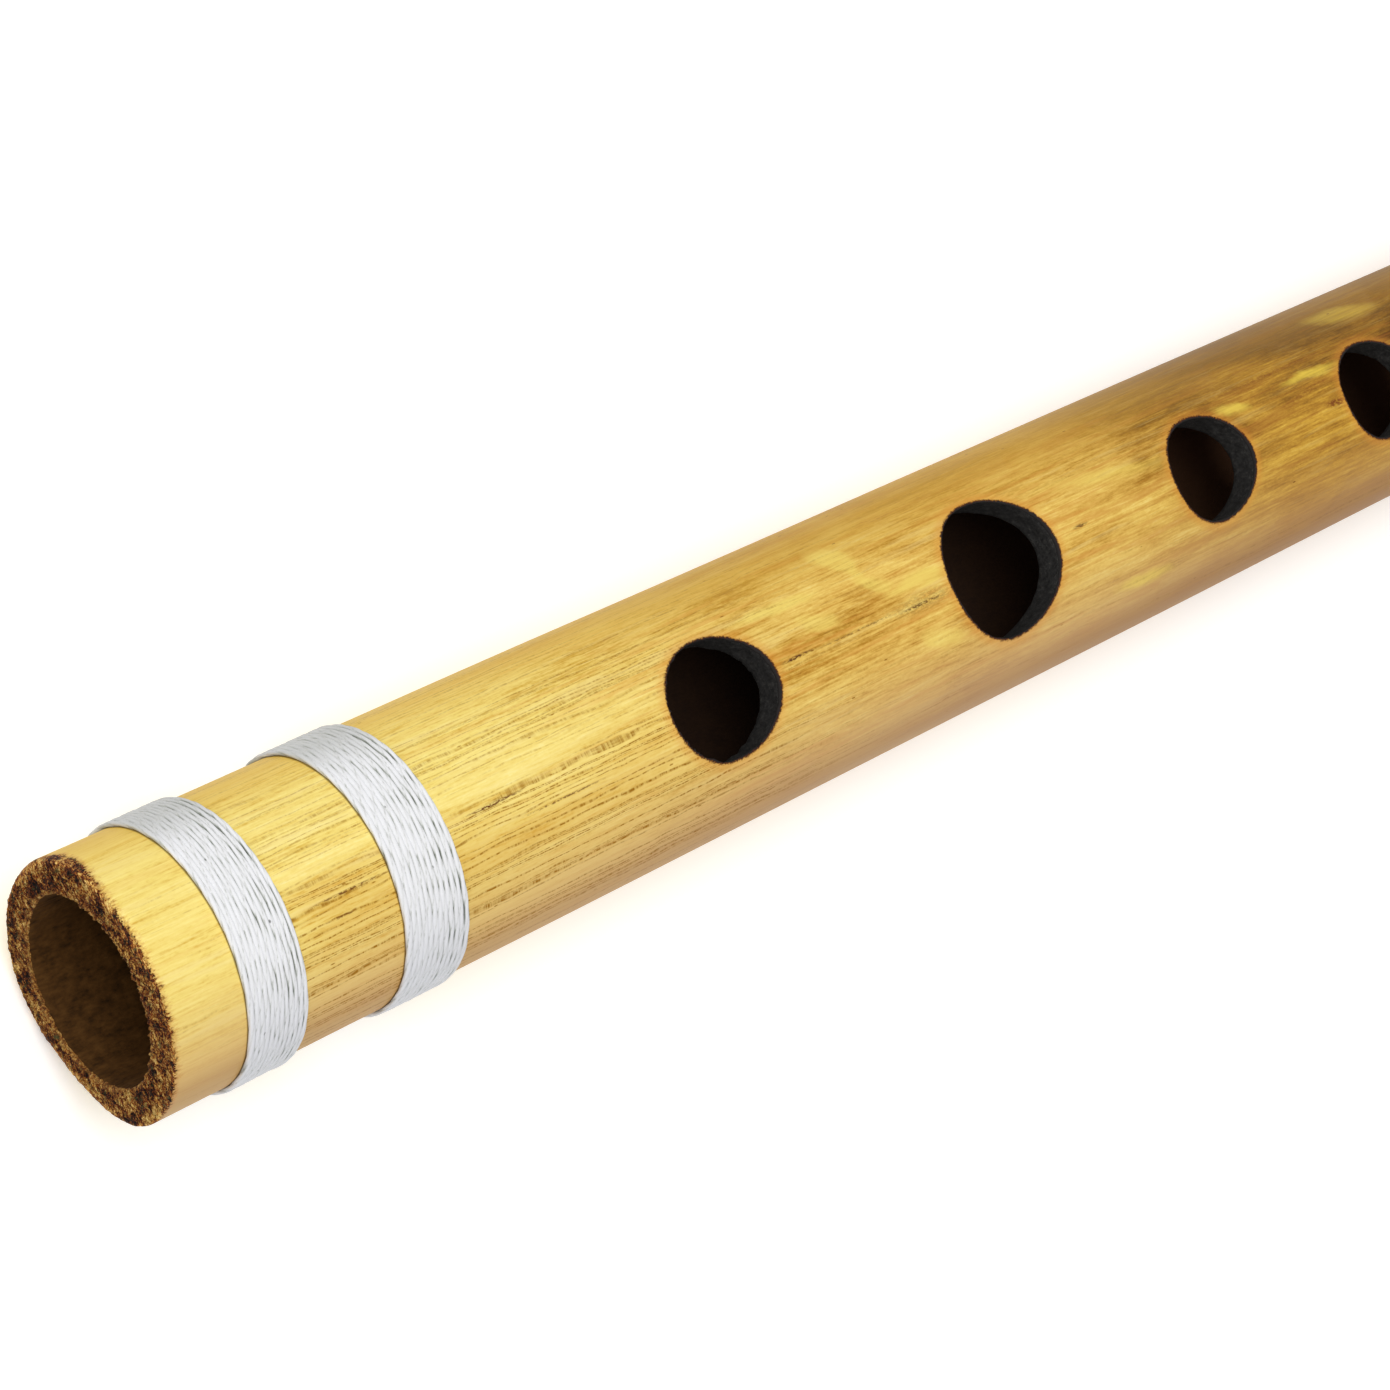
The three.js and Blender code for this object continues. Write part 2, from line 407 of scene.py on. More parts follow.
class Skin:
    """The bamboo's skin before it is burnt, from the foot's pale yellow to brown further up.

    Its colours come in threes: for the young-looking foot, the grown middle and the old-looking far stretch.
    """

    def __init__(self, shader):
        self.shader = shader
        self.place = shader.flute_place()
        self.s, y, z = shader.split(self.place)
        self.angle = shader.maths("ARCTAN2", y, z)
        self.around = shader.times(self.angle, TUBE_RADIUS)
        self.upper = above(shader, z)
        self.middle = shader.span(self.s, 28, 72)
        self.far = shader.times(shader.span(self.s, 88, 128), shader.span(self.s, 230, 150, 0.45, 1.0))
        self.fine = self.streaked(0.04, (0, 0, 0), 3.0, 4, 0.65)
        self.hair = self.streaked(0.10, (0, 0, 0), 6.0, 2, 0.5)
        self.broad = self.streaked(0.03, (40, 3, 9), 0.75, 3, 0.55)

    def streaked(self, squeeze, shift, *settings):
        """Noise drawn out along the tube."""
        return self.shader.noise(self.shader.stretched(self.place, (squeeze, 1, 1), shift), *settings)

    def side(self, low, high, to_low=0.0, to_high=1.0):
        """A span over the angle from the top towards +Y, in degrees."""
        return self.shader.span(self.angle, math.radians(low), math.radians(high), to_low, to_high)

    def by_age(self, young, grown, old):
        near = self.shader.mix(self.middle, linear(*young), linear(*grown))
        return self.shader.mix(self.far, near, linear(*old))

    def grain(self):
        """The colour that the fibres give the skin, with painted shade on its +Y side."""
        shader = self.shader
        cloud = self.streaked(0.45, (7, 1, 5), 0.17, 3, 0.5, 0.6)
        weave = self.streaked(0.55, (0, 0, 0), 5.0, 2, 0.6)
        crisp = shader.times(shader.span(self.s, 3, 12, 0.80, 1.0), shader.span(self.s, 60, 96, 1.0, 0.92))
        # Painted shade: the tone drops on the +Y side in the middle and far stretches, and rises a little on
        # the -Y side in the far stretch.
        far_side_shade = shader.times(self.far, self.upper)
        not_far = shader.maths("SUBTRACT", 1.0, self.far)
        middle_side_shade = shader.times(shader.times(self.middle, not_far), self.upper)
        tone = shader.add(
            0.555,
            shader.times(shader.ripple(self.fine, 0.74), crisp),
            shader.times(shader.ripple(self.hair, 0.66), crisp),
            shader.times(shader.ripple(self.broad, 0.62), crisp),
            shader.times(shader.ripple(weave, 0.34), crisp),
            shader.times(shader.ripple(cloud, 1.2), shader.span(self.s, 25, 80, 0.2, 1.0)),
            shader.times(far_side_shade, self.side(26, -16, -0.30, 0.14)),
            shader.times(middle_side_shade, self.side(52, 17, -0.10, 0.0)),
        )
        shades_by_age = (
            ((160, 108, 22), (214, 172, 64), (241, 216, 118), (249, 229, 138), (253, 241, 166)),
            ((118, 74, 14), (180, 130, 40), (218, 175, 82), (236, 202, 106), (246, 225, 142)),
            ((88, 54, 16), (138, 96, 30), (176, 128, 42), (206, 160, 58), (226, 190, 84)),
        )
        young, grown, old = (
            shader.ramp(tone, *((step / 4, *shade) for step, shade in enumerate(shades)))
            for shades in shades_by_age
        )
        return shader.mix(self.far, shader.mix(self.middle, young, grown), old)

    def tinted_and_shaded(self, colour):
        """Patches of resin, and painted shade on the two sides, pinker on the -Y side and more golden on the
        +Y side, which fades out underneath.
        """
        shader, s, upper = self.shader, self.s, self.upper
        resin = self.streaked(0.05, (21, 5, 2), 1.15, 4, 0.65, 0.4)
        amber = shader.times(shader.span(resin, 0.50, 0.66), shader.span(s, 20, 60, 0.15, 0.50))
        colour = shader.mix(amber, colour, self.by_age((222, 160, 70), (204, 138, 56), (150, 92, 32)))
        milky = shader.times(shader.span(resin, 0.46, 0.32), shader.span(s, 0, 60, 0.45, 0.35))
        colour = shader.mix(milky, colour, self.by_age((246, 226, 150), (232, 206, 130), (206, 172, 92)))

        # Painted shade on the -Y side, partly a pinker tint of the skin itself.
        blush_and_shade = shader.times(upper, self.side(-4, -62, 0, 0.80))
        colour = shader.mix(blush_and_shade, colour, self.by_age((214, 172, 116), (200, 160, 112), (180, 136, 82)))
        # Deeper painted shade further round the -Y side, stronger further up the tube.
        shaded = shader.times(upper, self.side(-42, -64))
        shaded = shader.times(shaded, shader.span(s, 76, 98, 0.36, 0.56))
        colour = shader.mix(shaded, colour, linear(150, 100, 46))
        # Painted shade on the +Y side, partly a more golden tint of the skin itself.
        turned = shader.add(self.angle, shader.times(self.middle, 0.28))
        gild_and_shade = shader.times(upper, shader.span(turned, math.radians(36), math.radians(78), 0, 0.7))
        colour = shader.mix(gild_and_shade, colour, self.by_age((222, 176, 54), (198, 152, 40), (150, 108, 24)))

        along = shader.times(shader.span(s, 9, 15), shader.span(s, 62, 40))
        across = shader.span(self.around, -7.0, -3.0, 0.3, 1.0)
        across = shader.times(shader.span(self.around, 2.4, -1.0), across)
        washed = shader.times(shader.times(along, across), upper)
        washed = shader.times(washed, shader.span(self.broad, 0.30, 0.62, 0.42, 0.14))
        return shader.mix(washed, colour, linear(206, 146, 50))

    def marked(self, colour):
        """Pale patches, fibre lines and streaks. Returns the colour and how dark each point has become."""
        shader, s = self.shader, self.s
        drift = shader.noise(self.place, 0.35, 3, 0.6)
        stray = self.streaked(0.4, (9, 9, 9), 0.9, 3, 0.6)
        bent_s = shader.add(s, shader.ripple(drift, 3.5))
        bent_around = shader.add(self.around, shader.ripple(stray, 1.1))
        pale = under_marks(shader, bent_s, bent_around, PALE_PATCHES)
        pale = shader.times(pale, shader.span(self.fine, 0.3, 0.6, 0.7, 1))
        colour = shader.mix(pale, colour, self.by_age((248, 230, 140), (238, 214, 108), (222, 190, 72)))

        lines = fibre_lines(shader, self.place, self.around)
        wisps = self.streaked(0.40, (2, 4, 4), 6.0, 3, 0.75)
        frayed = shader.add(self.around, shader.ripple(wisps, 0.35))
        streaks = under_marks(shader, s, frayed, DARK_STREAKS)
        streaks = shader.times(streaks, shader.span(wisps, 0.42, 0.53, 0.15, 1))
        colour = shader.mix(lines, colour, self.by_age((156, 106, 6), (142, 92, 8), (104, 56, 12)))
        colour = shader.mix(streaks, colour, self.by_age((104, 54, 12), (88, 50, 18), (112, 50, 20)))
        return colour, shader.maths("MAXIMUM", lines, streaks)

    def edged(self, colour):
        """A brown line along both edges of each binding."""
        shader = self.shader
        nearest = None
        for edge in BINDING_EDGES:
            away = shader.maths("ABSOLUTE", shader.add(self.s, -edge))
            nearest = away if nearest is None else shader.maths("MINIMUM", nearest, away)
        return shader.mix(shader.span(nearest, 0.16, 0.02, 0, 0.7), colour, linear(82, 56, 28))


def hole_distance(shader, place):
    """Roughly how far the point is outside the nearest hole's edge, in millimetres."""
    s, y, z = shader.split(place)
    nearest = None
    for centre, half_length, half_width in HOLES:
        along = shader.maths("DIVIDE", shader.add(s, -centre), half_length)
        across = shader.maths("DIVIDE", y, half_width)
        reach = shader.maths("SQRT", shader.add(shader.times(along, along), shader.times(across, across)))
        outside = shader.times(shader.add(reach, -1.0), half_width)
        nearest = outside if nearest is None else shader.maths("MINIMUM", nearest, outside)
    underneath = shader.span(z, 1.0, -1.0, 0, 50)
    return shader.add(nearest, underneath)


def end_grain_tone(shader, place):
    """The torn and scorched end grain: near-black, rust and tan crumbs in rows across the cut."""
    rows = shader.stretched(place, (1.2, 0.36, 1.15))
    coarse = shader.noise(rows, 1.9, 4, 0.8)
    crumbs = shader.noise(rows, 8.5, 3, 0.85)
    grains = shader.cells(shader.stretched(place, (1.0, 0.7, 1.0)), 4.6, "Color")
    patches = shader.noise(place, 0.7, 2)
    tone = shader.add(
        0.44,
        shader.ripple(coarse, 1.8),
        shader.ripple(crumbs, 2.5),
        shader.ripple(grains, 0.35),
        shader.ripple(patches, 1.3),
    )
    colour = shader.ramp(tone,
        (0.00, 17, 10, 7),
        (0.22, 46, 22, 10),
        (0.38, 108, 46, 16),
        (0.54, 158, 86, 32),
        (0.70, 208, 154, 70),
        (1.00, 246, 214, 132),
    )
    moss = shader.span(shader.noise(place, 1.7, 3, 0.7), 0.56, 0.68, 0, 0.7)
    colour = shader.mix(moss, colour, shader.mix(crumbs, linear(20, 20, 14), linear(140, 138, 82)))
    return colour, shader.add(coarse, crumbs)


def skin_material():
    """Bamboo skin, with a burnt ring round each hole and a ragged burnt edge at both cut ends."""
    shader = Shader("bamboo_skin")
    skin = Skin(shader)
    place = skin.place
    colour, dark = skin.marked(skin.tinted_and_shaded(skin.grain()))
    colour = skin.edged(colour)
    height = shader.add(skin.fine, shader.times(skin.hair, 0.6), shader.times(dark, -0.4))

    ragged = shader.noise(place, 2.2, 3, 0.65)
    frayed = shader.noise(place, 7.5, 2, 0.6)
    outside = shader.add(
        hole_distance(shader, place),
        shader.ripple(ragged, 0.30),
        shader.ripple(frayed, 0.34),
    )
    halo = shader.span(outside, 1.2, 0.2, 0, 0.42)
    colour = shader.mix(halo, colour, linear(214, 142, 54))
    scorch = shader.span(outside, 0.34, 0.16)
    colour = shader.mix(scorch, colour, linear(74, 32, 14))
    char = shader.span(outside, 0.20, 0.08)
    colour = shader.mix(char, colour, linear(38, 35, 34))

    fibres = shader.noise(shader.stretched(place, (0.35, 1, 1)), 5.5, 3, 0.75)
    burn = shader.add(shader.attribute("burn"), shader.ripple(fibres, 1.7))
    toasted = shader.span(burn, -0.55, 0.05, 0, 0.6)
    colour = shader.mix(toasted, colour, linear(198, 132, 56))
    burnt_edge = shader.span(burn, -0.06, 0.10)
    grain_colour, grain_height = end_grain_tone(shader, place)
    colour = shader.mix(burnt_edge, colour, grain_colour)

    burnt = shader.maths("MAXIMUM", scorch, burnt_edge)
    gloss = shader.add(0.48, shader.times(height, 0.08), shader.times(burnt, 0.30))
    relief = shader.add(shader.times(height, 0.5), shader.times(grain_height, shader.times(burnt_edge, 2.0)))
    normal = shader.bump(relief, 0.05, 0.8)
    return shader.finish(colour, gloss, normal, Specular_IOR_Level=0.16)


def end_grain_material():
    shader = Shader("bamboo_end_grain")
    place = shader.flute_place()
    colour, height = end_grain_tone(shader, place)
    _, y, z = shader.split(place)
    radius = shader.maths("SQRT", shader.add(shader.times(y, y), shader.times(z, z)))
    wobble = shader.ripple(shader.noise(place, 3.0, 3, 0.7), 0.6)
    lip = shader.span(shader.add(radius, wobble), BORE_RADIUS + 0.42, BORE_RADIUS + 0.08, 0, 0.65)
    crumb = shader.ramp(shader.noise(place, 5.0, 3, 0.8),
        (0.38, 50, 24, 10),
        (0.48, 142, 86, 34),
        (0.58, 204, 152, 74),
        (0.68, 246, 214, 140),
    )
    colour = shader.mix(lip, colour, crumb)
    return shader.finish(colour, 0.85, shader.bump(height, 0.20), Specular_IOR_Level=0.2)


def char_material():
    """The burnt walls of the holes."""
    shader = Shader("bamboo_char")
    place = shader.flute_place()
    flakes = shader.noise(place, 2.4, 4, 0.65)
    dust = shader.noise(place, 7.0, 3, 0.7)
    colour = shader.ramp(flakes, (0.30, 36, 35, 34), (0.55, 57, 56, 55), (0.75, 80, 79, 76))
    ash = shader.span(dust, 0.60, 0.74, 0, 0.55)
    colour = shader.mix(ash, colour, linear(128, 120, 108))
    return shader.finish(colour, 0.6, shader.bump(shader.add(flakes, dust), 0.08), Specular_IOR_Level=0.35)


def bore_material():
    shader = Shader("bamboo_bore")
    place = shader.flute_place()
    mottle = shader.noise(place, 0.9, 5, 0.65)
    pores = shader.noise(shader.stretched(place, (0.4, 1, 1)), 4.0, 3, 0.6)
    tone = shader.add(shader.times(mottle, 0.6), shader.times(pores, 0.4))
    colour = shader.ramp(tone, (0.32, 44, 27, 9), (0.50, 78, 50, 20), (0.68, 98, 66, 30))
    s, _, _ = shader.split(place)
    # The bore is darker from 12 mm in from the foot until 30 to 64 mm short of the head, and less dark past
    # 124 mm from the foot.
    bore_darkening = shader.times(shader.span(s, 12, 45, 0, 0.8), shader.span(s, TUBE_LENGTH - 30, TUBE_LENGTH - 64))
    darker_colour = shader.mix(shader.span(s, 92, 124), linear(46, 33, 28), linear(108, 76, 56))
    colour = shader.mix(bore_darkening, colour, darker_colour)
    return shader.finish(colour, 0.85, shader.bump(pores, 0.06), Specular_IOR_Level=0.12)


# -------------------- mesh helpers

def to_frame(s, angle, radius):
    """Points of the frame, in metres, from distances in millimetres and angles in radians."""
    s, angle, radius = np.broadcast_arrays(s, angle, radius)
    x = FOOT_X + s * MM
    y = radius * np.sin(angle) * MM
    z = AXIS_Z + radius * np.cos(angle) * MM
    return np.stack([x, y, z], axis=-1)


def noise_at(x, y, z):
    return noise.noise(Vector((x, y, z)))


def wander(s, angle, along, around, seed):
    """Smooth noise from about -0.5 to 0.5 over the tube, with features that long along and around it."""
    s, angle = np.broadcast_arrays(np.asarray(s, float), np.asarray(angle, float))
    turn = TUBE_RADIUS / around
    values = [
        noise_at(distance / along + seed, math.cos(a) * turn + seed, math.sin(a) * turn)
        for distance, a in zip(s.ravel(), angle.ravel())
    ]
    return np.array(values).reshape(s.shape)


class Mesher:
    """Collects rings of points and the faces between them."""

    def __init__(self):
        self.points = []
        self.values = []
        self.count = 0
        self.faces = []
        self.slots = []

    def ring(self, points, value=0.0):
        """Adds points, each with a value for the piece's attribute, and returns their numbers."""
        points = np.asarray(points).reshape(-1, 3)
        self.points.append(points)
        self.values.append(np.broadcast_to(value, len(points)))
        first = self.count
        self.count += len(points)
        return np.arange(first, self.count)

    def face(self, corners, slot):
        self.faces.append(tuple(int(corner) for corner in corners))
        self.slots.append(slot)

    def bridge(self, near, far, slot):
        """Quads between two closed rings of the same count."""
        for a, b, c, d in zip(near, np.roll(near, -1), np.roll(far, -1), far):
            self.face((a, b, c, d), slot)

    def extend(self, ring, points, slot, value):
        """Adds a ring of points joined to the given ring, and returns the new one."""
        added = self.ring(points, value)
        self.bridge(ring, added, slot)
        return added

    def sheathe(self, rings):
        """Joins the rings in order and closes both ends."""
        for near, far in zip(rings, rings[1:]):
            self.bridge(near, far, 0)
        self.face(rings[0][::-1], 0)
        self.face(rings[-1], 0)

    def fan_out(self, coarse, fine, slot):
        """Joins a closed ring to one with a whole multiple of its points."""
        times = len(fine) // len(coarse)
        half = times // 2
        for j, start in enumerate(coarse):
            end = coarse[(j + 1) % len(coarse)]
            run = [fine[(j * times + k) % len(fine)] for k in range(times + 1)]
            for k in range(half):
                self.face((start, run[k], run[k + 1]), slot)
            self.face((start, run[half], end), slot)
            for k in range(half, times):
                self.face((end, run[k], run[k + 1]), slot)

    def build(self, name, materials, attribute=None):
        mesh = bpy.data.meshes.new(name)
        mesh.from_pydata(np.concatenate(self.points), [], self.faces)
        for material in materials:
            mesh.materials.append(material)
        mesh.polygons.foreach_set("material_index", self.slots)
        if attribute:
            values = np.concatenate(self.values)
            mesh.attributes.new(attribute, "FLOAT", "POINT").data.foreach_set("value", values)
        shaped = bmesh.new()
        shaped.from_mesh(mesh)
        bmesh.ops.recalc_face_normals(shaped, faces=shaped.faces)
        shaped.to_mesh(mesh)
        shaped.free()
        mesh.polygons.foreach_set("use_smooth", [True] * len(mesh.polygons))
        mesh.update()
        return add_object(name, mesh)


# -------------------- bamboo tube

COLUMNS = 144            # points round the tube
PATCH_COLUMNS = 24       # columns each side of a hole that its patch takes up
PATCH_ROWS = 16
PATCH_REACH = 9.0        # mm each way along the tube
ROW_STEP = 6.0           # mm between rows where there is no hole
END_STRIP = 3.0          # mm of finely divided tube at each end
STRIP_START = 2.4        # mm from the cut where its first fine ring lies
HOLE_ROUND = 0.22        # radius of a hole's burnt outer edge
HOLE_INNER_ROUND = 0.25
HOLE_RAGGED = 0.5        # how torn a hole's edge is
FIRST_HOLE_RAGGED = 2.2  # the same for the one nearest the foot, which is the roughest
FOOT_TAPER = 0.28        # the foot's +Y side draws in by this much
FOOT_TAPER_LENGTH = 50.0
UNBURNT = -9.0           # the "burn" attribute is mm past the line where an end's scorched edge starts
SKIN, END_GRAIN, CHAR, BORE = range(4)

# How far the cut ends are worn and burnt back, in lobes of (degrees from the top towards +Y, half width
# in degrees, mm).
FOOT_WORN = ((-148, 58, 1.35), (17, 34, 0.65), (100, 38, 0.45))
FOOT_BURNT = ((62, 34, 0.85), (-148, 75, 1.6), (104, 50, 0.55))
HEAD_WORN = ((150, 60, 0.8), (-40, 40, 0.5), (60, 35, 0.4))
HEAD_BURNT = ((-20, 50, 0.5), (160, 70, 1.1), (80, 40, 0.4))


def smooth(share):
    """0 to 1 held at its ends, with a gentle start and finish."""
    share = np.clip(share, 0, 1)
    return share * share * (3 - 2 * share)


def lobes(angle, places):
    """Sum of smooth bumps round the tube, each given as (degrees, half width in degrees, height)."""
    total = np.zeros(np.shape(angle))
    for centre, half_width, height in places:
        off = np.abs((np.degrees(angle) - centre + 180) % 360 - 180)
        total = total + height * smooth(1 - off / half_width)
    return total


def skin_radius(s, angle):
    """Distance from the axis to the skin: a true tube but for the slight waver of grown bamboo."""
    waver = 0.09 * wander(s, angle, 45.0, 14.0, 3.0)
    ribs = 0.030 * wander(s, angle, 60.0, 1.6, 8.0)
    taper = FOOT_TAPER * smooth(1 - s / FOOT_TAPER_LENGTH) * np.maximum(np.sin(angle), 0)
    return TUBE_RADIUS + waver + ribs - taper


def bore_radius(s, angle):
    return BORE_RADIUS + 0.10 * wander(s, angle, 30.0, 9.0, 21.0)


def tube_rows():
    """Distances from the foot of the rows of points, and for each hole its first and last row."""
    rows, spans = [END_STRIP], []

    def fill_to(end, steps=None):
        steps = steps or max(1, round((end - rows[-1]) / ROW_STEP))
        rows.extend(np.linspace(rows[-1], end, steps + 1)[1:])

    for centre, _, _ in HOLES:
        fill_to(centre - PATCH_REACH)
        first = len(rows) - 1
        fill_to(centre + PATCH_REACH, PATCH_ROWS)
        spans.append((first, len(rows) - 1))
    fill_to(TUBE_LENGTH - END_STRIP)
    return np.array(rows), spans


def in_patch(row, column, spans):
    """True for a grid cell that a hole's patch replaces."""
    side = column if column < COLUMNS // 2 else column - COLUMNS
    beside = -PATCH_COLUMNS <= side < PATCH_COLUMNS
    return beside and any(first <= row < last for first, last in spans)


def patch_border(first, last):
    """(row, column) of the grid points round a patch, in order."""
    k = PATCH_COLUMNS
    border = [(row, k) for row in range(first, last)]
    border += [(last, column) for column in range(k, -k, -1)]
    border += [(row, -k) for row in range(last, first, -1)]
    border += [(first, column) for column in range(-k, k)]
    return border


def make_wall(mesher, rows, spans, radius_at, slot):
    """The grid of one wall, skin or bore, with a window left for each hole. Returns its grid of points."""
    angles = 2 * math.pi * np.arange(COLUMNS) / COLUMNS
    s, angle = np.meshgrid(rows, angles, indexing="ij")
    inside = np.zeros(s.shape, bool)
    for first, last in spans:
        for column in range(-PATCH_COLUMNS + 1, PATCH_COLUMNS):
            inside[first + 1:last, column] = True
    kept = ~inside
    grid = np.full(s.shape, -1)
    grid[kept] = mesher.ring(to_frame(s[kept], angle[kept], radius_at(s[kept], angle[kept])), UNBURNT)
    for row in range(len(rows) - 1):
        for column in range(COLUMNS):
            if not in_patch(row, column, spans):
                after = (column + 1) % COLUMNS
                corners = grid[row, column], grid[row, after], grid[row + 1, after], grid[row + 1, column]
                mesher.face(corners, slot)
    return grid


def rim_raggedness(turn, seed, ragged):
    """How far a hole's burnt edge strays from its oval, in millimetres, for each angle round the hole."""
    def layer(scale, shift):
        return np.array([noise_at(math.cos(t) * scale, math.sin(t) * scale, seed + shift) for t in turn])
    torn_side = 0.05 + 0.07 * np.maximum(np.cos(turn + math.radians(120)), 0)
    return 0.13 * layer(1.3, 0) + 0.06 * layer(9.0, 5) + ragged * torn_side * layer(24.0, 11)


def make_hole(mesher, hole, rows, span, skin, bore, seed):
    """One hole: its patch of skin, rounded burnt edge, wall, inner edge and patch of bore."""
    centre, half_length, half_width = hole
    border = patch_border(*span)
    border_s = np.array([rows[row] for row, _ in border]) - centre
    border_angle = np.array([2 * math.pi * column / COLUMNS for _, column in border])
    reach_angle = 2 * math.pi * PATCH_COLUMNS / COLUMNS
    turn = np.arctan2(border_angle / reach_angle, border_s / PATCH_REACH)
    ragged = rim_raggedness(turn, seed, FIRST_HOLE_RAGGED if hole == HOLES[0] else HOLE_RAGGED)

    def oval(grow):
        """Distance along and across from the hole's middle to its oval, grown by so much."""
        along = (half_length + ragged + grow) * np.cos(turn)
        across = (half_width + ragged + grow) * np.sin(turn)
        return along, across

    def wall_patch(grid, radius_at, rounding, shares, slot):
        """Rings from the border of the patch in to the edge of the hole."""
        along, across = oval(rounding)
        ring = np.array([grid[row, column] for row, column in border])
        for share in shares:
            edge_angle = np.arcsin(across / radius_at(centre + along, 0 * along))
            s = centre + border_s * share + along * (1 - share)
            angle = border_angle * share + edge_angle * (1 - share)
            ring = mesher.extend(ring, to_frame(s, angle, radius_at(s, angle)), slot, UNBURNT)
        return ring

    def rounded(ring, rounding, steps, heights, sign, slot):
        """Rings that turn from a wall into the hole on a quarter round."""
        for step in range(1, steps + 1):
            bend = math.pi / 2 * step / steps
            along, across = oval(rounding * (1 - math.sin(bend)))
            z = heights(along, across) - sign * rounding * (1 - math.cos(bend))
            ring = mesher.extend(ring, upright(along, across, z), slot, UNBURNT)
        return ring, z

    def upright(along, across, z):
        return np.stack([FOOT_X + (centre + along) * MM, across * MM, AXIS_Z + z * MM], axis=-1)

    def surface_height(radius_at):
        def height(along, across):
            angle = np.arcsin(across / radius_at(centre + along, 0 * along))
            radius = radius_at(centre + along, angle)
            return np.sqrt(radius ** 2 - across ** 2)
        return height

    top_shares = (0.62, 0.38, 0.22, 0.12, 0.055, 0.02, 0.0)
    low_shares = (0.6, 0.3, 0.12, 0.0)
    top = wall_patch(skin, skin_radius, HOLE_ROUND, top_shares, SKIN)
    low = wall_patch(bore, bore_radius, HOLE_INNER_ROUND, low_shares, BORE)
    top, top_z = rounded(top, HOLE_ROUND, 5, surface_height(skin_radius), 1, SKIN)
    low, low_z = rounded(low, HOLE_INNER_ROUND, 3, surface_height(bore_radius), -1, CHAR)
    along, across = oval(0)
    levels = 7
    for level in range(1, levels):
        share = level / levels
        pit = 0.10 * np.array([noise_at(a * 1.4, b * 1.4, share * 3 + seed) for a, b in zip(along, across)])
        z = top_z * (1 - share) + low_z * share
        pitted = upright(along * (1 + pit / half_length), across * (1 + pit / half_width), z)
        top = mesher.extend(top, pitted, CHAR, UNBURNT)
    mesher.bridge(top, low, CHAR)


def torn_depth(angle, radius, seed):
    """How far the torn face lies below the plane of the cut. Its roughness runs in rows across it."""
    values = []
    for a, r in zip(angle, np.broadcast_to(radius, angle.shape)):
        y, z = r * math.sin(a), r * math.cos(a)
        rows = noise_at(y * 0.8, z * 2.2, seed)
        crumbs = noise_at(y * 2.6, z * 5.5, seed + 9)
        grit = noise_at(y * 7.0, z * 9.0, seed + 20)
        values.append(0.18 * rows + 0.24 * crumbs + 0.17 * grit)
    return np.array(values)


def make_end(mesher, skin_edge, bore_edge, head, fineness):
    """One cut end: the tube's last strip, its worn rim, the torn face and the start of the bore.

    It has fineness times as many points round the tube as the rest.
    """
    count = COLUMNS * fineness
    angle = 2 * math.pi * np.arange(count) / count
    step = 0.40 / fineness
    seed = 90.0 if head else 60.0

    def from_foot(depth):
        return TUBE_LENGTH - depth if head else depth

    worn, burnt = (HEAD_WORN, HEAD_BURNT) if head else (FOOT_WORN, FOOT_BURNT)
    rim = 0.16 + lobes(angle, worn) + 0.08 * wander(0, angle, 1.0, 1.2, seed)
    burn_depth = 0.10 + lobes(angle, burnt) + 0.15 * wander(0, angle, 1.0, 1.5, seed + 8)
    lip = 0.20 + 0.12 * wander(0, angle, 1.0, 0.5, seed + 3)
    chips = 0.08 * wander(0, angle, 1.0, 0.35, seed + 6)
    outer = skin_radius(from_foot(0.0), angle)
    inner = bore_radius(from_foot(0.0), angle) + 1.2 * chips

    rings = []

    def add(depth, radius, slot, burn=UNBURNT):
        """A ring by its depth from the cut face and its radius."""
        rings.append((to_frame(from_foot(depth), angle, radius), slot, burn))

    strip_steps = round(7 * fineness / 4) + 3
    for k in range(strip_steps):
        share = k / strip_steps
        depth = STRIP_START * (1 - share) + rim * share
        add(depth, skin_radius(from_foot(depth), angle), SKIN, burn_depth - depth)
    round_steps = 10
    for k in range(round_steps + 1):
        bend = math.pi / 2 * k / round_steps
        scraped = math.sin(bend)
        radius = outer - rim * (1 - math.cos(bend)) - chips * scraped
        depth = rim * (1 - scraped)
        rough = torn_depth(angle, radius, seed) * scraped * (0.08 + 0.24 * smooth(burn_depth - depth + 0.3))
        add(depth + rough, radius, SKIN, burn_depth - depth + 0.45 * scraped ** 6)
    face_outer = outer - rim - chips
    face_inner = inner + lip
    face_steps = max(6, round((TUBE_RADIUS - BORE_RADIUS - 0.7) / step))
    for k in range(1, face_steps):
        share = k / face_steps
        radius = face_outer * (1 - share) + face_inner * share
        add(torn_depth(angle, radius, seed), radius, END_GRAIN)
    lip_torn = torn_depth(angle, face_inner, seed)
    for k in range(4):
        bend = math.pi / 2 * k / 3
        depth = lip * (1 - math.cos(bend)) + lip_torn * math.cos(bend)
        add(depth, face_inner - lip * math.sin(bend), END_GRAIN)
    for depth in (0.5, 0.9, 1.5, STRIP_START):
        fade = 1 - depth / END_STRIP
        add(depth, bore_radius(from_foot(depth), angle) + 1.2 * chips * fade, BORE)

    ring = mesher.ring(rings[0][0], UNBURNT)
    mesher.fan_out(skin_edge, ring, SKIN)
    for points, slot, burn in rings[1:]:
        ring = mesher.extend(ring, points, slot, burn)
    mesher.fan_out(bore_edge, ring, BORE)


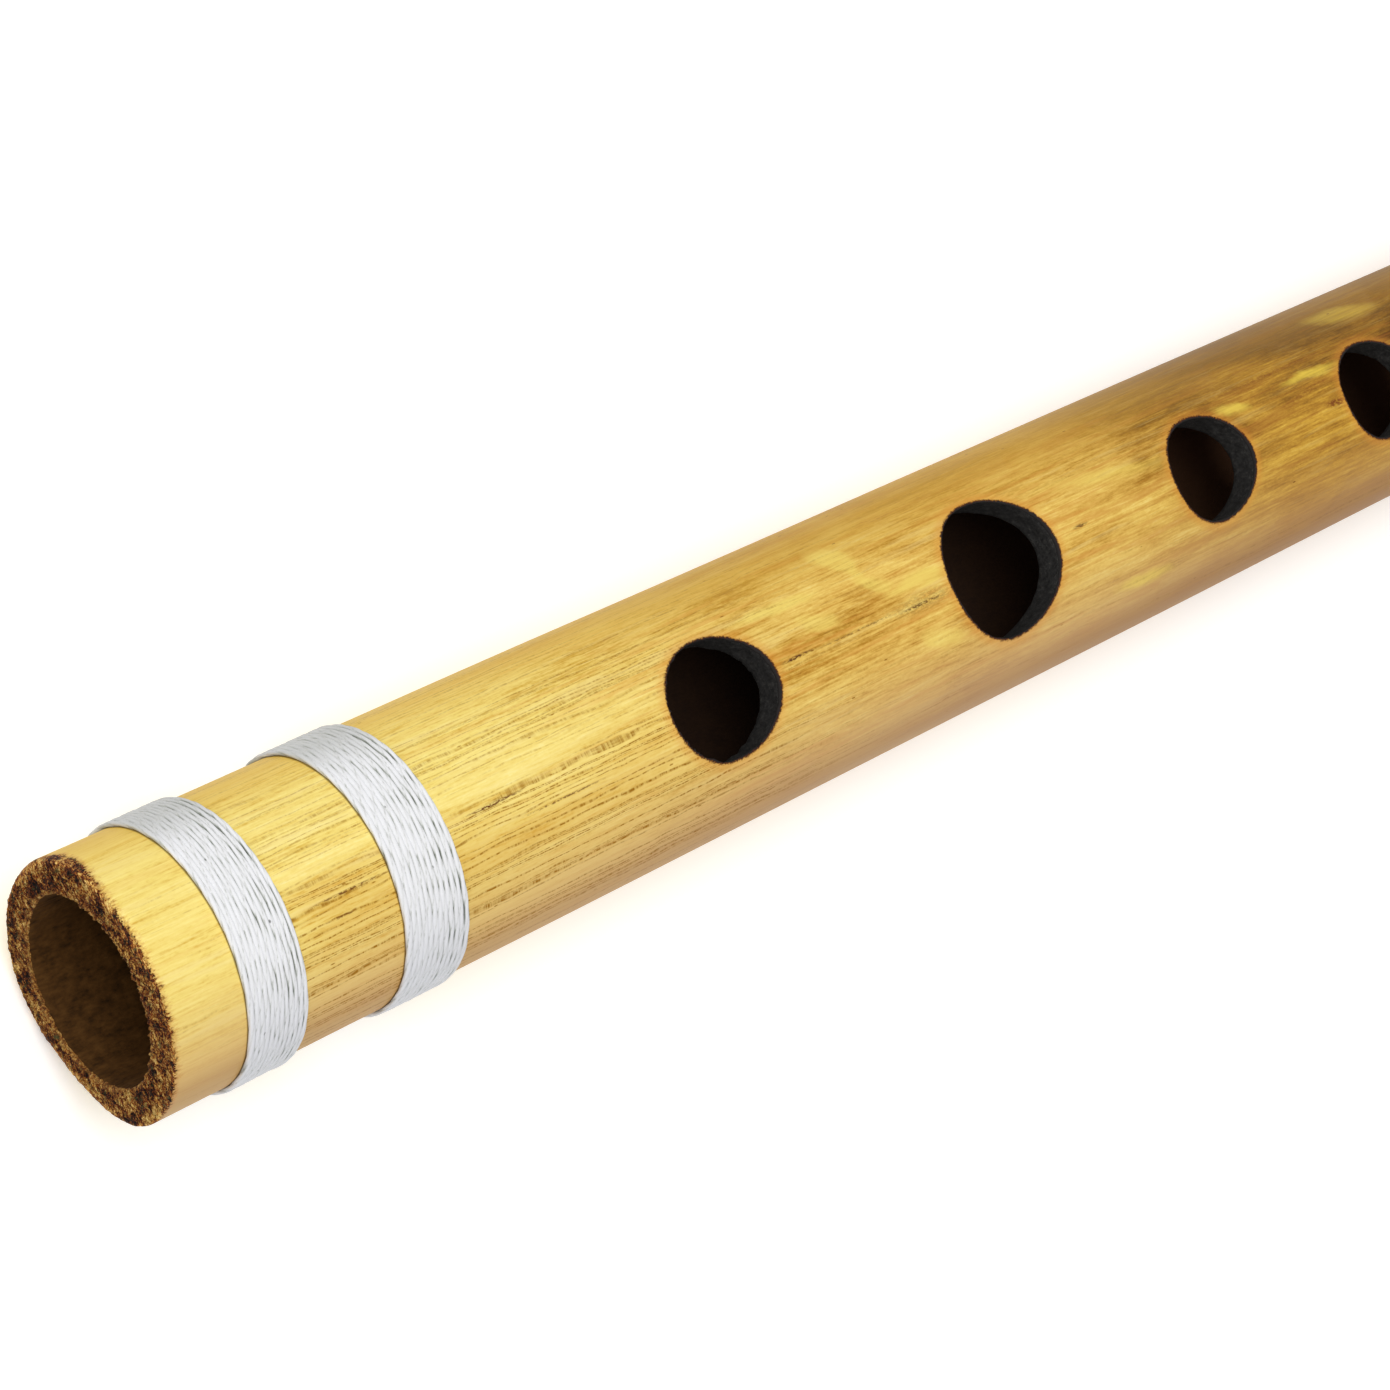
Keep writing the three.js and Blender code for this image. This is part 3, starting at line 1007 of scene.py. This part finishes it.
def make_tube():
    mesher = Mesher()
    rows, spans = tube_rows()
    skin = make_wall(mesher, rows, spans, skin_radius, SKIN)
    bore = make_wall(mesher, rows, spans, bore_radius, BORE)
    for number, (hole, span) in enumerate(zip(HOLES, spans)):
        make_hole(mesher, hole, rows, span, skin, bore, 10.0 * number)
    make_end(mesher, skin[0], bore[0], head=False, fineness=4)
    make_end(mesher, skin[-1], bore[-1], head=True, fineness=2)
    materials = [skin_material(), end_grain_material(), char_material(), bore_material()]
    tube = mesher.build("bamboo", materials, "burn")
    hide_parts("bamboo_tube")
    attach(tube, "tube")


# -------------------- thread bindings

TURNS = 12
THREAD_HEIGHT = 0.42     # mm, how far a turn stands off the bamboo
TWIST_LENGTH = 6.4       # mm of thread in which its three strands go once round
STRAND_RELIEF = 0.21     # depth of the creases between the strands, as a share of the thread's reach
THREAD_STEP = 0.26       # mm along the thread between its rings of points
THREAD_SIDES = 14
TAIL = 7.0               # mm of thread that dives under its neighbours at each end
CROSSING = 0.25          # share of a turn, underneath, in which the thread steps over to its next turn


def thread_material():
    """White twisted thread with a few dark specks, with painted grey-green shade in the creases between its
    turns and strands, and painted shade on both sides.
    """
    shader = Shader("white_thread")
    place = shader.flute_place()
    # Painted shade in the creases between the turns and between the strands, read from the mesh.
    crease_shade = shader.attribute("crease_shade")
    soil = shader.noise(place, 0.7, 3, 0.6)
    fluff = shader.noise(place, 12.0, 3, 0.7)
    tone = shader.add(
        0.97,
        shader.ripple(soil, 0.16),
        shader.ripple(fluff, 0.20),
        shader.times(crease_shade, -0.66),
    )
    colour = shader.ramp(tone,
        (0.15, 58, 64, 56),
        (0.40, 128, 134, 124),
        (0.62, 188, 191, 187),
        (0.82, 228, 229, 231),
        (1.00, 237, 238, 242),
    )
    spot = shader.stretched(place, (1, 0.6, 0.6))
    pick = shader.span(shader.cells(spot, 0.9, "Color"), 0.60, 0.64)
    speck = shader.times(pick, shader.span(shader.cells(spot, 0.9), 0.11, 0.06))
    colour = shader.mix(shader.times(speck, 0.75), colour, linear(44, 46, 38))
    _, y, z = shader.split(place)
    angle = shader.maths("ARCTAN2", y, z)
    upper = above(shader, z)
    # Painted shade on both sides of the thread: grey-green towards +Y and bluish grey towards -Y, growing up
    # to the second angle and fading out underneath.
    for unshaded, worn, share, tint in ((36, 66, 0.50, (150, 152, 144)), (-8, -64, 0.24, (150, 154, 170))):
        side_shade = shader.span(angle, math.radians(unshaded), math.radians(worn), 0, share)
        colour = shader.mix(shader.times(upper, side_shade), colour, linear(*tint))
    return shader.finish(colour, 0.6, shader.bump(fluff, 0.03, 0.6), Specular_IOR_Level=0.3, Sheen_Weight=0.1)


def make_binding(node, material, seed):
    """One thread wound side by side round the tube, twisted from three strands, its ends tucked under.

    The turns are pressed together at the foot side and part a little towards the head side.
    """
    low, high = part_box(node)
    start = (low.x - FOOT_X) / MM
    width = (high.x - low.x) / MM
    pitch = width / TURNS
    per_turn = 2 * math.pi * (TUBE_RADIUS + THREAD_HEIGHT / 2)
    wound = per_turn * TURNS
    count = int((wound + 2 * TAIL) / THREAD_STEP)
    run = np.linspace(-TAIL, wound + TAIL, count)
    turn = run / per_turn + CROSSING / 2
    lay = np.clip(np.floor(turn) - 1 + smooth((turn - np.floor(turn)) / CROSSING), 0, TURNS - 1)
    open_share = lay / (TURNS - 1)
    angle = 2 * math.pi * run / per_turn + math.pi
    dive = smooth(np.maximum(-run, run - wound) / TAIL)
    inward = np.where(run < 0, 1.0, -1.0) * dive * 1.2 * pitch

    def along_thread(length_scale, layer):
        return np.array([noise_at(r / length_scale, seed, layer) for r in run])

    sway = 0.16 * pitch * along_thread(17.0, 0.0)
    swell = 0.14 * along_thread(8.0, 7.0)
    s = start + pitch * (lay + 0.5) + inward + sway
    half_height = THREAD_HEIGHT / 2 * (1 + swell)
    half_width = pitch / 2 * (1.26 - 0.15 * open_share) * (1 + swell * 0.5)
    middle = skin_radius(s, angle) + half_height * 0.92 - dive * THREAD_HEIGHT
    # How dark the painted shade between turns is: more towards the head side, where the turns part, and
    # broken up along the thread.
    groove_shade = (0.26 + 0.66 * open_share ** 1.3) * np.clip(0.75 + 3.2 * along_thread(2.2, 13.0), 0.10, 2.0)
    twist = 2 * math.pi * run / TWIST_LENGTH + 2.5 * along_thread(12.0, 19.0)

    mesher = Mesher()
    side = 2 * math.pi * np.arange(THREAD_SIDES) / THREAD_SIDES
    outward = np.sign(np.cos(side)) * np.abs(np.cos(side)) ** 0.8
    between_turns = np.clip((0.84 - outward) / 0.36, 0, 1)
    rings = []
    for k in range(count):
        strand = 1 - np.abs(np.cos(1.5 * (side - twist[k])))
        reach = 1 - STRAND_RELIEF * strand ** 1.5
        ring_s = s[k] + half_width[k] * reach * np.sin(side)
        ring_radius = middle[k] + half_height[k] * reach * outward
        # Painted shade: darkest where a turn faces its neighbours, lighter in the creases between the
        # strands.
        crease_shade = np.clip(groove_shade[k] * between_turns + 0.50 * strand ** 3, 0, 1)
        rings.append(mesher.ring(to_frame(ring_s, angle[k], ring_radius), crease_shade))
    mesher.sheathe(rings)
    thread = mesher.build(node + "_thread", [material], "crease_shade")
    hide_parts(node)
    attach(thread, "tube")


# -------------------- cork stopper

CORK_COLUMNS = 120
CORK_EDGE = 0.8          # radius of its worn edges
CORK_CORE = 0.5          # radius of the flat middle of each of its faces


def cork_material():
    shader = Shader("cork")
    place = shader.flute_place()
    grain = shader.noise(place, 0.9, 4, 0.6)
    crumbs = shader.cells(place, 1.1)
    tone = shader.add(shader.times(grain, 0.7), shader.times(crumbs, 0.35))
    colour = shader.ramp(tone, (0.30, 152, 108, 68), (0.50, 204, 158, 108), (0.75, 230, 192, 142))
    pores = shader.span(shader.noise(place, 1.6, 3, 0.7), 0.60, 0.68)
    colour = shader.mix(pores, colour, linear(62, 36, 20))
    height = shader.add(grain, shader.times(pores, -0.8))
    return shader.finish(colour, 0.88, shader.bump(height, 0.15))


def make_cork():
    """A turned cork with worn edges and small pits."""
    start = (cork_low.x - FOOT_X) / MM
    length = (cork_high.x - cork_low.x) / MM
    angle = 2 * math.pi * np.arange(CORK_COLUMNS) / CORK_COLUMNS
    face = [(0.0, radius) for radius in np.linspace(CORK_CORE, CORK_RADIUS - CORK_EDGE, 10)]
    for k in range(1, 6):
        bend = math.pi / 2 * k / 5
        face.append((CORK_EDGE * (1 - math.cos(bend)), CORK_RADIUS - CORK_EDGE * (1 - math.sin(bend))))
    side = [(depth, CORK_RADIUS) for depth in np.linspace(CORK_EDGE, length - CORK_EDGE, 22)[1:-1]]
    far_face = [(length - depth, radius) for depth, radius in reversed(face)]

    mesher = Mesher()
    rings = []
    for depth, radius in face + side + far_face:
        pits = wander(start + depth + 0 * angle, angle, 1.6, 1.6 * TUBE_RADIUS / max(radius, 1.0), 31.0)
        sunk = 0.35 * np.clip(-pits - 0.12, 0, 1)
        on_side = radius > CORK_RADIUS - CORK_EDGE * 0.5
        inset = sunk if on_side else 0 * sunk
        lift = sunk if depth < length / 2 else -sunk
        s = start + depth + (0 if on_side else lift)
        rings.append(mesher.ring(to_frame(s, angle, radius - inset)))
    mesher.sheathe(rings)
    cork = mesher.build("cork", [cork_material()])
    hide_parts("cork_stopper")
    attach(cork, "stopper")


# -------------------- scene

make_camera()
make_light()
make_floor()
make_tube()
white_thread = thread_material()
for number, binding in enumerate(BINDINGS):
    make_binding(binding, white_thread, 4.0 * number)
make_cork()
